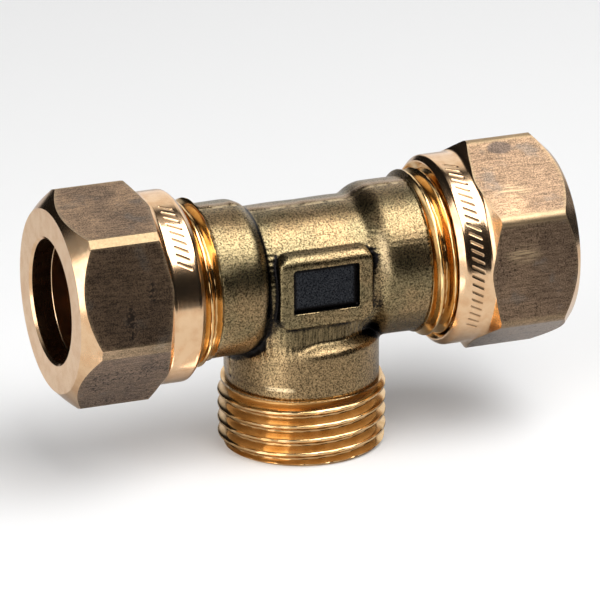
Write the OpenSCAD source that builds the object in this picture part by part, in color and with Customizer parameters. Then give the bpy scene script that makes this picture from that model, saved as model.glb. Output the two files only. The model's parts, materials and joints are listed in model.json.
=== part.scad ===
// Forged brass compression tee. Each end of the run takes a plain pipe, gripped by a compression ring under
// a hexagon nut, and the branch ends in a parallel male pipe thread.
// The branch stands on z = 0 with its axis on Z, and the run lies along X above it.

/* [Pipe] */
// Outside diameter of the pipe that each end of the run takes
pipe_d = 15; // [14.8:0.05:15.05]
// Branch axis to the stop that the pipe's end meets
pipe_stop = 12; // [9:0.5:13]
// Diameter of the waterway between the two pipe stops
waterway_d = 13.2; // [10:0.1:14]

/* [Run] */
// Branch axis to the end of the thread, on both sides
run_reach = 25; // [24.6:0.1:25.2]
// Branch axis to the start of the thread, on both sides
run_thread_start = 13.7; // [13:0.1:15]
// Branch axis to the foot of the shoulder where the neck swells into the boss
neck_reach = 7.4; // [6.8:0.1:8]
// Diameter of the neck between the two shoulders
neck_d = 17; // [16.4:0.1:17.4]
// Diameter of the boss behind each thread
boss_d = 19.26; // [18.6:0.02:20]
// Radius of the boss's rounded shoulder
shoulder_round = 2; // [1.8:0.1:3]

/* [Branch] */
// Run axis to the end face of the branch
branch_reach = 22.6; // [21:0.1:30]
// Run axis to the ledge where the branch's neck swells into its boss
branch_ledge = 7.3; // [7:0.1:8]
// Radius of the ledge's rounded edge
ledge_round = 1.2; // [0.6:0.1:1.2]
// Diameter of the neck between the run and the ledge
branch_neck_d = 16.4; // [15.8:0.1:16.8]
// Diameter of the boss above the thread
branch_d = 19.36; // [18.6:0.02:20]
// Length of the branch thread
branch_thread_len = 8.6; // [7:0.1:10]
// Diameter of the waterway in the branch
branch_bore_d = 12.8; // [10:0.1:14]

/* [Threads] */
// Major diameter of the run threads and the branch thread
thread_d = 20.955; // [20.8:0.005:21]
// Chamfer at the free end of each thread
thread_chamfer = 0.74; // [0.4:0.02:1]
// Chamfer where the branch thread starts on the forging
thread_shoulder = 0.4; // [0.2:0.05:0.5]

/* [Panel] */
// Width of the raised panel's face
panel_w = 12.3; // [11:0.1:12.6]
// Height of the raised panel's face
panel_h = 9.6; // [8:0.1:10.5]
// Run axis to the panel's face
panel_reach = 9.1; // [8.9:0.05:9.5]
// Height of the panel's middle over the run axis
panel_rise = 0.2; // [-0.5:0.1:0.8]
// Radius of the panel's rounded front edge
panel_edge = 0.9; // [0.3:0.1:1.2]
// Width of the recess in the panel
recess_w = 8.6; // [7:0.1:9.5]
// Height of the recess in the panel
recess_h = 5.6; // [4:0.1:7]
// Height of the recess's middle over the run axis
recess_rise = 0.15; // [-0.2:0.05:0.8]
// Depth of the recess in the panel
recess_depth = 0.8; // [0.3:0.05:1]

/* [Nut] */
// Width of each nut across its flats
nut_af = 24; // [24:0.5:27]
// Branch axis to the outer face of each nut
nut_reach = 32.75; // [32.5:0.05:33]
// Length of each nut with its collar
nut_len = 16.1; // [15.5:0.1:16.5]
// Length of the round collar at the nut's inner end
collar_len = 4.2; // [3.5:0.1:5]
// Diameter of the collar
collar_d = 23.9; // [23.4:0.05:23.9]
// Radius of the fillet between the collar and the chamfer behind it
collar_fillet = 0.9; // [0.3:0.1:1.2]
// Diameter of the turned ring of the nut's outer face
nut_face_d = 22.9; // [21:0.1:23.4]
// Radius of the rounded corners of the hexagon
corner_round = 1.2; // [0.6:0.1:2]
// Turn of the left nut's hexagon
left_nut_turn = 17.7; // [0:0.1:60]
// Turn of the right nut's hexagon
right_nut_turn = 0; // [0:0.1:60]

/* [Compression ring] */
// Length of each compression ring
ring_len = 6.5; // [6:0.1:6.8]
// Thickness of the ring at its middle
ring_wall = 1.2; // [1:0.05:1.25]
// Thickness of the ring at its tapered ends
ring_lip = 0.35; // [0.2:0.05:0.4]

/* [Hidden] */
$fn = 96;
// Gap between the pipe and the socket, the ring and the nut
socket_gap = 0.05;
ring_gap = 0.1;
nut_gap = 0.2;
socket_r = pipe_d / 2 + socket_gap;
ring_bore_r = pipe_d / 2 + ring_gap;
nut_bore_r = pipe_d / 2 + nut_gap;

neck_r = neck_d / 2;
boss_r = boss_d / 2;
branch_r = branch_d / 2;
thread_r = thread_d / 2;
// The shoulder's arc leaves the neck at its foot and runs level with the boss after this length
shoulder_step = boss_r - neck_r;
shoulder_len = sqrt(2 * shoulder_round * shoulder_step - shoulder_step * shoulder_step);
shoulder_foot = atan2(shoulder_round - shoulder_step, -shoulder_len);
// Gap between the male and female threads, both as plain cylinders at their major diameter
thread_gap = 0.05;
nut_thread_r = thread_r + thread_gap;

// Mouth of the socket: a cone that the ring's inner taper is driven into
mouth_angle = 25;
mouth_r = socket_r + 1.26;
mouth_start = run_reach - (mouth_r - socket_r) / tan(mouth_angle);
edge_break = 0.3;
// How far cutting shapes run past the faces they cut
past = 1;

// Nut: places along the run, from its collar to its outer face
nut_start = nut_reach - nut_len;
hex_start = nut_start + collar_len;
collar_r = collar_d / 2;
collar_round = 0.7;
face_r = nut_face_d / 2;
// The hexagon's corners lie inside this radius
hex_reach = nut_af * 0.6;
// Slope of the chamfer behind the collar, and where it starts inside the collar
inner_chamfer = 30;
inner_chamfer_r = collar_r - 0.25;
inner_chamfer_len = (hex_reach - inner_chamfer_r) * tan(inner_chamfer);
// The fillet's arc starts just under the collar, where a level line at this radius meets the chamfer
fillet_r = collar_r - 0.03;
fillet_foot = hex_start + (fillet_r - inner_chamfer_r) * tan(inner_chamfer);
fillet_start = fillet_foot - collar_fillet * tan((90 - inner_chamfer) / 2);
// Bore of the nut: pipe hole, seat for the ring, chamber and thread
lip_len = 2.65;
seat_end = nut_reach - lip_len;
seat_r = nut_bore_r + 0.4;
seat_len = 2;
chamber_r = seat_r + 0.9;
nut_thread_end = 27;
nut_thread_chamfer = 0.57;

// Ring: tapered at both ends
ring_end = seat_end - 0.1;
ring_start = ring_end - ring_len;
ring_taper = 21;
ring_taper_len = (ring_wall - ring_lip) / tan(ring_taper);

// Panel: its root lies inside the neck, and its sides have forging draft
panel_root = 5.8;
panel_round = 1.6;
panel_draft = 0.35;
recess_round = 0.8;
slice = 0.01;

// Points of an arc about a centre, from one angle to another
function arc(centre, radius, from, to, steps = 6) =
    [for (i = [0:steps])
        let (a = from + (to - from) * i / steps)
        centre + radius * [cos(a), sin(a)]];

// Outline of a rectangle with rounded corners, about its middle
function rounded_rectangle(w, h, r) =
    [for (k = [0:3])
        let (right = k == 0 || k == 3, top = k < 2)
        each arc([(w / 2 - r) * (right ? 1 : -1), (h / 2 - r) * (top ? 1 : -1)], r, k * 90, k * 90 + 90)];

// Outline of a hexagon with rounded corners, one of them on the first axis
function rounded_hexagon(af, r) =
    [for (k = [0:5])
        each arc((af / 2 - r) / cos(30) * [cos(k * 60), sin(k * 60)], r, k * 60 - 30, k * 60 + 30, 4)];

// A half outline of [along the run, radius], joined to its mirror image across the branch axis
function both_ends(half) =
    concat([for (i = [len(half) - 1:-1:0]) [-half[i][0], half[i][1]]], half);

// Solid of revolution about the run, from an outline of [along the run, radius]
module turned_on_run(outline)
    translate([0, 0, branch_reach])
        rotate([0, 90, 0])
            rotate_extrude()
                polygon([for (p = outline) [p[1], p[0]]]);

// Solid of revolution about the branch, from an outline of [radius, height]
module turned_on_branch(outline)
    rotate_extrude()
        polygon(outline);

module on_left()
    rotate([0, 0, 180])
        children();

// Outside of the run: neck, rounded shoulders, bosses and thread blanks
module run_blank()
    turned_on_run(both_ends(concat(
        arc([neck_reach + shoulder_len, boss_r - shoulder_round], shoulder_round, shoulder_foot, 90),
        [[run_thread_start, boss_r],
         [run_thread_start + thread_r - boss_r, thread_r],
         [run_reach - thread_chamfer, thread_r],
         [run_reach, thread_r - thread_chamfer],
         [run_reach, 0]])));

// Outside of the branch: neck, rounded ledge, boss and thread blank
module branch_blank()
    turned_on_branch(concat(
        [[0, 0],
         [thread_r - thread_chamfer, 0],
         [thread_r, thread_chamfer],
         [thread_r, branch_thread_len - thread_shoulder],
         [thread_r - thread_shoulder, branch_thread_len],
         [branch_r, branch_thread_len]],
        arc([branch_r - ledge_round, branch_reach - branch_ledge - ledge_round], ledge_round, 0, 90),
        [[branch_neck_d / 2, branch_reach - branch_ledge],
         [branch_neck_d / 2, branch_reach],
         [0, branch_reach]]));

// Thin slice of the raised panel at a reach from the run axis, grown on every side
module panel_slice(reach, grow)
    translate([0, 0, reach - slice])
        linear_extrude(slice)
            polygon(rounded_rectangle(panel_w + 2 * grow, panel_h + 2 * grow, panel_round + min(grow, 0)));

// Raised panel on the front of the neck, with drafted sides and a rounded front edge
module panel_blank()
    translate([0, 0, branch_reach + panel_rise])
        rotate([90, 0, 0])
            hull() {
                for (a = [0:22.5:90])
                    panel_slice(panel_reach - panel_edge * (1 - cos(a)), -panel_edge * (1 - sin(a)));
                panel_slice(panel_root, panel_draft);
            }

// Bare recess in the panel's face
module panel_recess()
    translate([0, -panel_reach + recess_depth, branch_reach + recess_rise])
        rotate([90, 0, 0])
            linear_extrude(recess_depth + past)
                polygon(rounded_rectangle(recess_w, recess_h, recess_round));

// Inside of the run: waterway, pipe sockets and conical mouths
module run_bore()
    turned_on_run(both_ends([
        [pipe_stop, waterway_d / 2],
        [pipe_stop, socket_r],
        [mouth_start, socket_r],
        [run_reach, mouth_r],
        [run_reach + past, mouth_r + past * tan(mouth_angle)],
        [run_reach + past, 0]]));

// Inside of the branch, up to the run's waterway
module branch_bore()
    turned_on_branch([
        [0, -past],
        [branch_bore_d / 2 + edge_break + past, -past],
        [branch_bore_d / 2, edge_break],
        [branch_bore_d / 2, branch_reach],
        [0, branch_reach]]);

module tee_body()
    color([0.62, 0.52, 0.33])
        difference() {
            union() {
                run_blank();
                branch_blank();
                panel_blank();
            }
            run_bore();
            branch_bore();
            panel_recess();
        }

// Hexagon of the nut, turned to a chamfer at both of its ends and filleted into the collar
module nut_hexagon(turn)
    intersection() {
        translate([hex_start - past, 0, branch_reach])
            rotate([0, 90, 0])
                rotate([0, 0, turn])
                    linear_extrude(nut_reach - hex_start + past)
                        polygon(rounded_hexagon(nut_af, corner_round));
        turned_on_run(concat(
            [[fillet_start, 0]],
            arc([fillet_start, fillet_r + collar_fillet], collar_fillet, -90, -inner_chamfer),
            [[hex_start + inner_chamfer_len, hex_reach],
             [nut_reach - (hex_reach - face_r), hex_reach],
             [nut_reach, face_r],
             [nut_reach, 0]]));
    }

// Round collar behind the hexagon, with a rounded end
module nut_collar()
    turned_on_run(concat(
        [[nut_start, 0]],
        arc([nut_start + collar_round, collar_r - collar_round], collar_round, 180, 90),
        [[hex_start + past, collar_r],
         [hex_start + past, 0]]));

// Inside of the nut: thread blank, chamber, conical seat and pipe hole
module nut_bore()
    turned_on_run([
        [nut_start - past, 0],
        [nut_start - past, nut_thread_r + nut_thread_chamfer + past],
        [nut_start + nut_thread_chamfer, nut_thread_r],
        [nut_thread_end, nut_thread_r],
        [nut_thread_end, chamber_r],
        [seat_end - seat_len, chamber_r],
        [seat_end, seat_r],
        [seat_end, nut_bore_r],
        [nut_reach - edge_break, nut_bore_r],
        [nut_reach + past, nut_bore_r + edge_break + past],
        [nut_reach + past, 0]]);

module nut(turn)
    color([0.78, 0.6, 0.44])
        difference() {
            union() {
                nut_hexagon(turn);
                nut_collar();
            }
            nut_bore();
        }

// Compression ring, thick in the middle and tapered to a lip at both ends
module compression_ring()
    color([0.86, 0.68, 0.38])
        turned_on_run([
            [ring_start, ring_bore_r],
            [ring_end, ring_bore_r],
            [ring_end, ring_bore_r + ring_lip],
            [ring_end - ring_taper_len, ring_bore_r + ring_wall],
            [ring_start + ring_taper_len, ring_bore_r + ring_wall],
            [ring_start, ring_bore_r + ring_lip]]);

module left_nut()
    on_left()
        nut(left_nut_turn);

module right_nut()
    nut(right_nut_turn);

module left_compression_ring()
    on_left()
        compression_ring();

module right_compression_ring()
    compression_ring();

tee_body();
left_nut();
right_nut();
left_compression_ring();
right_compression_ring();
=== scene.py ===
# %% [markdown]
# A forged brass compression tee: a stamped body with three threaded ends, and on each end of its run a
# hexagon nut over a tapered compression ring. The solids from the construction model are loaded first and
# stay where they are. Every visible surface is then built again around them with its real thread, edge
# and grain, and each new piece rides on the same moving body as the solid it stands for.

# %% Load the frame
import json
import math

import bpy
import numpy as np
from mathutils import Matrix, Vector


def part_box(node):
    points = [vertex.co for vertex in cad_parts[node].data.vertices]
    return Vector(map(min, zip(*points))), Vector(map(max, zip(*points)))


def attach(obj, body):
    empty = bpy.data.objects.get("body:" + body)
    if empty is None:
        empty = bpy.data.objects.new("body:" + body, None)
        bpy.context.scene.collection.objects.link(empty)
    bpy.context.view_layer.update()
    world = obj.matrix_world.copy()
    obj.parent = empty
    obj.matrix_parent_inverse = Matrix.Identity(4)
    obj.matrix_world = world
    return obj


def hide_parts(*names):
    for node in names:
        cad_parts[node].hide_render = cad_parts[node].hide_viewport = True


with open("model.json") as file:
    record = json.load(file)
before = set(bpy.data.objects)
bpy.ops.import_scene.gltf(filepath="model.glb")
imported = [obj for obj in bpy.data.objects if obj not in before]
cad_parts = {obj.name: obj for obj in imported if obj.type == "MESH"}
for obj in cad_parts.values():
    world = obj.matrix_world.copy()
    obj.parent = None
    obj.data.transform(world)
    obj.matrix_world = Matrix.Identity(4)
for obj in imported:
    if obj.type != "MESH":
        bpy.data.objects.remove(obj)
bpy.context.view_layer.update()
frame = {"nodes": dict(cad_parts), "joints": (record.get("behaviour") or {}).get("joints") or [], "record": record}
print("solids:", sorted(frame["nodes"]))

# %% [markdown]
# Sizes come from the loaded part where it states them: the mounts give the radii of threads and bores, and
# the boxes of the solids give where nuts, rings and threads end. Shapes are worked out in millimetres,
# measured from the point where the run's axis crosses the branch's axis, because that is how such a
# fitting is drawn. Only the last step turns them into metres above the floor.

# %% Sizes taken from the solids
MM = 0.001
mounts = {m["name"]: m for m in frame["record"]["mounts"]}
joints = {j["name"]: j for j in frame["joints"]}
RUN_HEIGHT = joints["right_nut_turn"]["pos_m"][2]
CROSSING = (0.0, 0.0, RUN_HEIGHT)
THREAD_R = mounts["branch_thread"]["dims"]["r_mm"]
SOCKET_R = mounts["right_pipe_socket"]["dims"]["r_mm"]
BRANCH_BORE_R = mounts["branch_port"]["dims"]["r_mm"]


def span(node, axis):
    """Lowest and highest place of a solid along one axis, in millimetres from the crossing of the axes."""
    low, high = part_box(node)
    return (low[axis] - CROSSING[axis]) / MM, (high[axis] - CROSSING[axis]) / MM


NUT_START = span("right_nut", 0)[0]
NUT_REACH = min(span("right_nut", 0)[1], -span("left_nut", 0)[0])
NUT_FLATS = span("right_nut", 1)[1] - span("right_nut", 1)[0]
RING_START, RING_END = span("right_compression_ring", 0)
RING_R = span("right_compression_ring", 1)[1]
RUN_REACH = span("tee_body", 0)[1]
BRANCH_REACH = -span("tee_body", 2)[0]
print(f"nut {NUT_FLATS:.2f} mm across flats, run {2 * NUT_REACH:.2f} mm long")

# %% [markdown]
# The camera stands where the photographer's stood: well back with a long lens, turned to the left of the
# front and a little above. Its three angles and three distances were fitted to the outlines of the nuts
# and the branch. The columns of its matrix are right, up, back and where it stands.

# %% Camera at the photograph's angle
IMAGE_SIDE = 600
FOCAL_PIXELS = 6468
SENSOR = 36.0
CAMERA_TURN, CAMERA_RISE = -21.0, 20.17
CAMERA_ROLL = math.radians(-0.33)
CAMERA_AWAY = 0.800
CAMERA_SIDEWAYS = -0.00008
CAMERA_UPWARDS = -0.00406


def toward(turn, rise, away=1.0):
    """A place away metres from the part, turn degrees right of the front and rise degrees up."""
    turn, rise = math.radians(turn), math.radians(rise)
    level = away * math.cos(rise)
    return np.array([math.sin(turn) * level, -math.cos(turn) * level, away * math.sin(rise)])


back = toward(CAMERA_TURN, CAMERA_RISE)
level = np.cross(-back, [0, 0, 1])
level /= np.linalg.norm(level)
upright = np.cross(level, -back)
right = math.cos(CAMERA_ROLL) * level + math.sin(CAMERA_ROLL) * upright
up = -math.sin(CAMERA_ROLL) * level + math.cos(CAMERA_ROLL) * upright
stand = back * CAMERA_AWAY + right * CAMERA_SIDEWAYS + up * CAMERA_UPWARDS + CROSSING

camera = bpy.data.objects.new("camera", bpy.data.cameras.new("camera"))
camera.data.sensor_width = SENSOR
camera.data.lens = FOCAL_PIXELS * SENSOR / IMAGE_SIDE
camera.matrix_world = Matrix([[*row, place] for row, place in zip(np.stack([right, up, back], 1), stand)]
                             + [[0, 0, 0, 1]])
bpy.context.scene.collection.objects.link(camera)
bpy.context.scene.camera = camera
print(f"lens {camera.data.lens:.0f} mm, {CAMERA_AWAY} m away")

# %% [markdown]
# Materials are sums of patterns, and sums read best as sums. This class wraps one socket of a node tree and
# lets plain arithmetic add the Math nodes: 1 - mask is a subtract node. Every other node comes from the
# one method called node, which takes the type, the settings and the socket values.

# %% Arithmetic for shader sockets


class Signal:
    """One output socket of a node tree. Arithmetic on signals adds Math nodes to that tree."""

    def __init__(self, tree, socket=None):
        self.tree = tree
        self.socket = socket

    def node(self, kind, settings=None, sockets=None, output=0):
        """Adds a shader node: its settings first, then its sockets, each with a value or a link."""
        made = self.tree.nodes.new("ShaderNode" + kind)
        for name, value in (settings or {}).items():
            setattr(made, name, value)
        for name, value in (sockets or {}).items():
            if isinstance(value, Signal):
                self.tree.links.new(value.socket, made.inputs[name])
            else:
                made.inputs[name].default_value = value
        return Signal(self.tree, made.outputs[output] if made.outputs else None)

    def math(self, operation, first, second=0.0):
        return self.node("Math", {"operation": operation}, {0: first, 1: second})

    def __add__(self, other):
        return self.math("ADD", self, other)

    __radd__ = __add__

    def __sub__(self, other):
        return self.math("SUBTRACT", self, other)

    def __rsub__(self, other):
        return self.math("SUBTRACT", other, self)

    def __mul__(self, other):
        return self.math("MULTIPLY", self, other)

    __rmul__ = __mul__

    def __abs__(self):
        return self.math("ABSOLUTE", self)

    def part(self, letter):
        """One coordinate of a place."""
        return self.node("SeparateXYZ", {}, {0: self}, output=letter)

    def vector(self, operation, second=(0, 0, 0), output=0):
        """Vector arithmetic between this place and a second one."""
        return self.node("VectorMath", {"operation": operation}, {0: self, 1: second}, output)

    def length(self):
        return self.vector("LENGTH", output="Value")

    def step(self, low, high):
        """Rises smoothly from 0 at low to 1 at high, or falls if low is the higher."""
        return self.node("MapRange", {"interpolation_type": "SMOOTHSTEP"},
                         {"Value": self, "From Min": low, "From Max": high})

    def mix(self, first, second):
        """Colour that goes from first to second as this signal goes from 0 to 1."""
        first, second = (c if isinstance(c, Signal) else (*c, 1.0) for c in (first, second))
        return self.node("Mix", {"data_type": "RGBA"}, {0: self, 6: first, 7: second}, output=2)

    def noise(self, size, detail=2.0, roughness=0.5, stretch=(1, 1, 1)):
        """Noise whose lumps are about size millimetres across, drawn out by stretch along X, Y and Z."""
        spread = self.vector("MULTIPLY", tuple(1 / (size * MM * s) for s in stretch))
        return self.node("TexNoise", {}, {"Vector": spread, "Scale": 1.0, "Detail": detail,
                                          "Roughness": roughness})


print("shader arithmetic ready")

# %% [markdown]
# Polished brass shows what it mirrors, so the light is built as a photographer would build it, from the
# reflections. A soft box overhead to the right gives the white bands on the collars, a square one left of the
# camera lights the chamfers and the branch, and pale patches of the room show low behind the part on both
# sides and on the ceiling. The rest of the room is dark. A black card low on the right draws the dark line
# along every round face, and two white cards at the foot of the left box light the branch from below. They
# lie on a grey sheet that the brass mirrors in place of the bright floor.

# %% Soft boxes and room
ROOM = 0.012
WALLS = [(150, 21, 1.2, 0.82, 0.93), (-110, 10, 1.4, 0.90, 0.97), (105, 70, 0.5, 0.945, 0.985)]
scene = bpy.context.scene
scene.view_settings.view_transform = "Standard"


def soft_box(name, turn, rise, away, width, height, brightness):
    """An area light that faces the part. Its power is brightness times pi times its area."""
    light = bpy.data.objects.new(name, bpy.data.lights.new(name, "AREA"))
    light.data.shape = "RECTANGLE"
    light.data.size, light.data.size_y = width, height
    light.data.energy = brightness * math.pi * width * height
    place = Vector(toward(turn, rise, away))
    light.matrix_world = Matrix.LocRotScale(place, place.to_track_quat("Z", "Y"), None)
    scene.collection.objects.link(light)


soft_box("overhead_box", turn=42, rise=63, away=0.62, width=0.68, height=0.42, brightness=5.0)
soft_box("left_box", turn=-57, rise=20, away=0.55, width=0.61, height=0.60, brightness=2.6)

world = bpy.data.worlds.new("studio")
scene.world = world
world.use_nodes = True
world.node_tree.nodes.clear()
sky = Signal(world.node_tree)
direction = sky.node("TexCoord", output="Generated")
glow = ROOM
for turn, rise, brightness, edge, core in WALLS:
    nearness = direction.vector("DOT_PRODUCT", toward(turn, rise), output="Value")
    glow = glow + nearness.step(edge, core) * brightness
seen = sky.node("LightPath", output="Is Camera Ray")
glow = glow + seen * (1.0 - glow)
lamp = sky.node("Background", {}, {"Strength": glow})
sky.node("OutputWorld", {}, {"Surface": lamp})
print("two soft boxes and", len(WALLS), "pale patches of the room")

# %% Pale floor, black card and white cards
FLOOR_SIDE = 6.0
FLOOR_DROP = -0.00002
CARD_TURN, CARD_AWAY, CARD_WIDTH, CARD_HEIGHT = 58, 0.10, 0.25, 0.065
WHITE_CARDS = [[(-60, 0.026), (-71, 0.058), (-38, 0.058), (-36, 0.026)],
               [(-60, 0.0112), (-60, 0.0165), (-34, 0.0165), (-34, 0.0112)]]
GREY_SIDE, GREY_LIFT = 0.6, 0.0001
WHITE_LIFT = 0.0002
FLOOR_GLOW, WHITE_GLOW = 0.16, 2.4
PALE, GREY = (0.72, 0.72, 0.72), (0.64, 0.64, 0.64)
BLACK, WHITE_BASE = (0.005, 0.005, 0.006), (0.02, 0.02, 0.02)
PAINT_ROUGHNESS, PAINT_SHEEN = 0.9, 0.1


def board(name, corners, colour, glow=0.0):
    """A flat sheet of one colour that stands in the studio, with a little light of its own."""
    mesh = bpy.data.meshes.new(name)
    mesh.from_pydata(corners, [], [(0, 1, 2, 3)])
    sheet = bpy.data.objects.new(name, mesh)
    scene.collection.objects.link(sheet)
    paint = bpy.data.materials.new(name)
    paint.use_nodes = True
    shader = paint.node_tree.nodes["Principled BSDF"]
    shader.inputs["Base Color"].default_value = (*colour, 1.0)
    shader.inputs["Roughness"].default_value = PAINT_ROUGHNESS
    shader.inputs["Specular IOR Level"].default_value = PAINT_SHEEN
    shader.inputs["Emission Color"].default_value = (1, 1, 1, 1)
    shader.inputs["Emission Strength"].default_value = glow
    mesh.materials.append(paint)
    return sheet


def lying(side, height):
    """Corners of a level square round the part."""
    reach = side / 2
    return [(x * reach, y * reach, height) for x, y in ((-1, -1), (1, -1), (1, 1), (-1, 1))]


board("pale_floor", lying(FLOOR_SIDE, FLOOR_DROP), PALE, FLOOR_GLOW)
grey_sheet = board("grey_sheet", lying(GREY_SIDE, GREY_LIFT), GREY)
foot = toward(CARD_TURN, 0, CARD_AWAY)
side = toward(CARD_TURN + 90, 0, CARD_WIDTH / 2)
rise = np.array([0, 0, CARD_HEIGHT])
black_card = board("black_card", [foot - side, foot + side, foot + side + rise, foot - side + rise], BLACK)
white_cards = [board("white_card", [toward(turn, 0, away) + [0, 0, WHITE_LIFT] for turn, away in corners],
                     WHITE_BASE, WHITE_GLOW) for corners in WHITE_CARDS]
for card in (grey_sheet, black_card, *white_cards):
    card.visible_camera = False
    card.visible_diffuse = False
    card.visible_shadow = False
print("floor and cards placed")

# %% [markdown]
# Most of the fitting was made on a lathe, so most pieces are an outline carried round an axis. A piece is
# then a grid: rows follow the outline, columns go round. The outline runs with the metal on its right,
# from the outside over the free end and back through the bore, which makes every face point outwards. A
# closed outline gives a closed skin, and its enclosed volume, printed for each piece, proves it.

# %% Grids of quads and pieces
FULL_TURN = 2 * math.pi
ENDS = {
    "right": np.eye(3),
    "left": np.diag([-1.0, -1.0, 1.0]),
    "branch": np.array([[0, 0, 1], [0, 1, 0], [-1, 0, 0]], float),
}


def loop_quads(rows, cols, closed=True):
    """Quads between neighbouring rows and columns of a grid. Columns close on themselves, rows if closed."""
    row = np.arange(rows if closed else rows - 1)[:, None]
    col = np.arange(cols)[None, :]
    below, beside = (row + 1) % rows, (col + 1) % cols
    corners = row * cols + col, row * cols + beside, below * cols + beside, below * cols + col
    return np.stack(np.broadcast_arrays(*corners), -1).reshape(-1, 4)


def turned(along, radius, angle):
    """Points at a place along the axis, a radius and an angle from +Y towards +Z, all as arrays."""
    along, radius, angle = np.broadcast_arrays(along, radius, angle)
    return np.stack([along, radius * np.cos(angle), radius * np.sin(angle)], -1).reshape(-1, 3)


def enclosed(points, faces):
    """Volume inside a skin: the sum of the tetrahedra from the origin to each triangle of its faces."""
    total = 0.0
    for corner in range(1, faces.shape[1] - 1):
        a, b, c = points[faces[:, 0]], points[faces[:, corner]], points[faces[:, corner + 1]]
        total += np.einsum("ij,ij->i", a, np.cross(b, c)).sum() / 6
    return total


def make_piece(name, end, points, face_sets, finishes, finish_of=None, sharp=32):
    """A mesh object from points in millimetres along an end's own axis, placed in metres above the floor."""
    placed = (points @ ENDS[end].T) * MM + CROSSING
    mesh = bpy.data.meshes.new(name)
    mesh.from_pydata(placed, [], sum((faces.tolist() for faces in face_sets), []))
    for finish in finishes:
        mesh.materials.append(finish)
    if finish_of is not None:
        mesh.polygons.foreach_set("material_index", finish_of.astype(np.int32))
    mesh.shade_smooth()
    mesh.set_sharp_from_angle(angle=math.radians(sharp))
    piece = bpy.data.objects.new(name, mesh)
    scene.collection.objects.link(piece)
    volume = sum(enclosed(points, faces) for faces in face_sets)
    print(f"{name}: {len(mesh.polygons)} faces, {volume:.0f} mm3 inside")
    return piece


def store(piece, name, values):
    """Keeps one number for each point of a piece, for its finish to read."""
    piece.data.attributes.new(name, "FLOAT", "POINT").data.foreach_set("value", values.astype(np.float32))


def dress(piece, body, slot_name, *nodes):
    """The piece rides on a body and stands for the named solids, which it hides. slot_name is not used."""
    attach(piece, body)
    if nodes:
        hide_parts(*nodes)


print("grid helpers ready")

# %% [markdown]
# All three male threads and both nuts share one thread, the parallel pipe thread of half an inch: 14 turns
# to the inch, with rounded crests and roots. The crest is a helix, so it moves along by one pitch for each
# turn. The nut's thread is the same formula a hair wider, and so it stays in mesh as the nut unscrews.

# %% One thread for every end
PITCH = 25.4 / 14
THREAD_DEPTH = 0.640327 * PITCH
CREST = 0.22


def thread_depth(along, angle, phase):
    """Depth under the crest: 0 near the crest line along = pitch * angle / turn, full half a pitch away."""
    turns = along / PITCH - angle / FULL_TURN - phase
    from_crest = np.abs(turns - np.round(turns)) * PITCH
    flank = np.clip((from_crest - CREST / 2) / (PITCH / 2 - CREST), 0, 1)
    rounded = flank * flank * (3 - 2 * flank)
    return THREAD_DEPTH * (0.45 * flank + 0.55 * rounded)


print(f"pitch {PITCH:.3f} mm, depth {THREAD_DEPTH:.3f} mm")

# %% [markdown]
# Four kinds of finish share one metal. A forging is blasted clean, so it is a rough skin of tiny facets,
# pale on its high points, with painted shade that makes its corners almost black. Cut threads are bright
# and golden with fine tool lines, and the bores are the same metal under a painted dark brown shade. The
# turned faces and collars of the nuts are a rosier brass, and their flats are the raw surface of the drawn
# bar, dull, streaked along its length and stained. Each finish is built from noise at the real size of its
# grain, in the piece's own coordinates, so that it travels with the piece.

# %% Start and close a finish


def start_finish(name):
    """A new material with an empty tree, and the place of each point on the piece as its first signal."""
    material = bpy.data.materials.new(name)
    material.use_nodes = True
    material.node_tree.nodes.clear()
    tree = Signal(material.node_tree)
    return material, tree.node("TexCoord", output="Object")


def close_finish(place, colour, roughness, height, bump_depth):
    """Ends a finish in one metal shader, with height as a bump of bump_depth millimetres."""
    normal = place.node("Bump", {}, {
        "Strength": 1.0, "Distance": bump_depth * MM, "Height": height})
    metal = place.node("BsdfPrincipled", {}, {
        "Base Color": colour, "Roughness": roughness, "Metallic": 1.0, "Normal": normal})
    place.node("OutputMaterial", {}, {"Surface": metal})


def stored(place, *names):
    """Values stored on the piece's own points, one signal for each name."""
    return [place.node("Attribute", {"attribute_name": name}, output="Fac") for name in names]


def from_axis(place, axis):
    """How far each point is from the run's axis, axis 0, or from the branch's, axis 2, in metres."""
    across = [1.0, 1.0, 1.0]
    across[axis] = 0.0
    return place.vector("SUBTRACT", CROSSING).vector("MULTIPLY", across).length()


print("finish helpers ready")

# %% [markdown]
# The blasted skin: grain of about a quarter of a millimetre sets both the colour and the bump, so that bright
# points stand up. A broad noise shifts the tone from olive to gold, which is the tone of the branch as well.
# The stored corner shade is painted shade: it darkens the corners, the creases at the feet of the shoulders
# and beside the panel, and the hollow beside the panel's lower left corner. The trimmed flash line along the
# parting plane is smoother and redder, with a painted highlight along its front lip. The wall under the panel
# is darker, in streaks down its length, fading out at its left end. Painted highlights also run as one bright
# line on the branch along the edge of the band the lathe skimmed, and down the edge of the right shoulder. The
# sunk field of the panel is coloured a speckled blue-black.

# %% Blasted forging finish
FLASH_HALF, FLASH_SOFT = 0.55, 0.1
FLASH_LIP = 0.8
WARM_TOP, WARM_FADE = RUN_HEIGHT - 5.5 * MM, 4 * MM


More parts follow.
